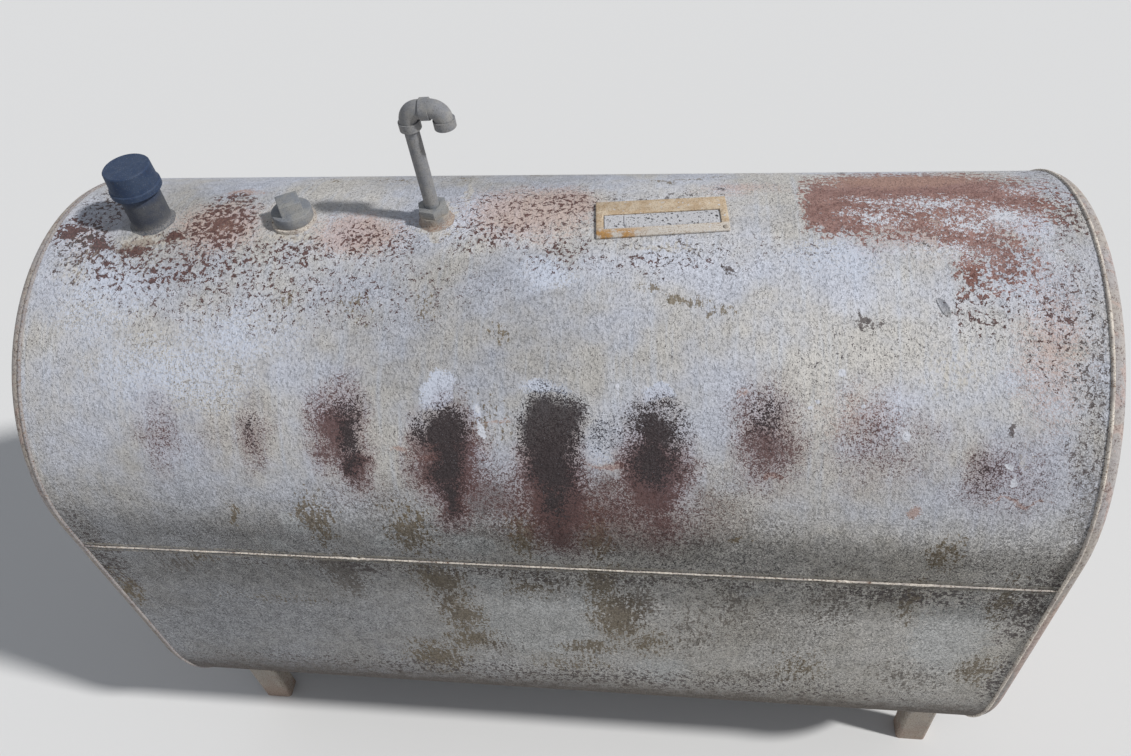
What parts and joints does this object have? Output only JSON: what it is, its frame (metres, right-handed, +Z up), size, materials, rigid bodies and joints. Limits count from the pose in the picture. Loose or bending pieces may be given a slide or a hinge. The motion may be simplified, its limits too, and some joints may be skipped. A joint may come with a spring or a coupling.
{
  "type": "obround steel oil storage tank",
  "caption": "Weathered flat-sided steel oil storage tank on channel legs, with fill cap, square-head plug, gooseneck vent and blank data plate.",
  "frame": {"origin": "on the floor under the middle of the tank", "axes": "+X along the tank to the right as seen from the front, +Y to the back, +Z up"},
  "size_m": [1.56, 0.693, 1.4015],
  "materials": {
    "tank_paint": "weathered grey paint, speckled and patched with rust",
    "weld_paint": "painted weld bead, worn to a pale line with rust beside it",
    "fitting_paint": "blue-grey paint on pipe fittings, dusty and chalked",
    "leg_paint": "grey paint with rust towards the floor",
    "plate_paint": "tan rust-stained plate frame, bare of lettering",
    "panel_paint": "pale grey paint with dark chips"
  },
  "bodies": {
    "root": {"shell_upper": "tank_paint", "shell_lower": "tank_paint", "head_left": "tank_paint", "head_right": "tank_paint", "head_weld_left": "weld_paint", "head_weld_right": "weld_paint", "seam_weld_front": "weld_paint", "seam_weld_back": "weld_paint", "leg_front_left": "leg_paint", "leg_front_right": "leg_paint", "leg_back_left": "leg_paint", "leg_back_right": "leg_paint", "fill_weld": "weld_paint", "fill_pipe": "fitting_paint", "fill_cap": "fitting_paint", "plug_spud": "weld_paint", "square_plug": "fitting_paint", "vent_weld": "weld_paint", "vent_collar": "fitting_paint", "vent_bushing": "fitting_paint", "vent_pipe": "fitting_paint", "vent_street_elbow": "fitting_paint", "vent_elbow": "fitting_paint", "plate_frame": "plate_paint", "plate_panel": "panel_paint"}
  },
  "joints": []
}
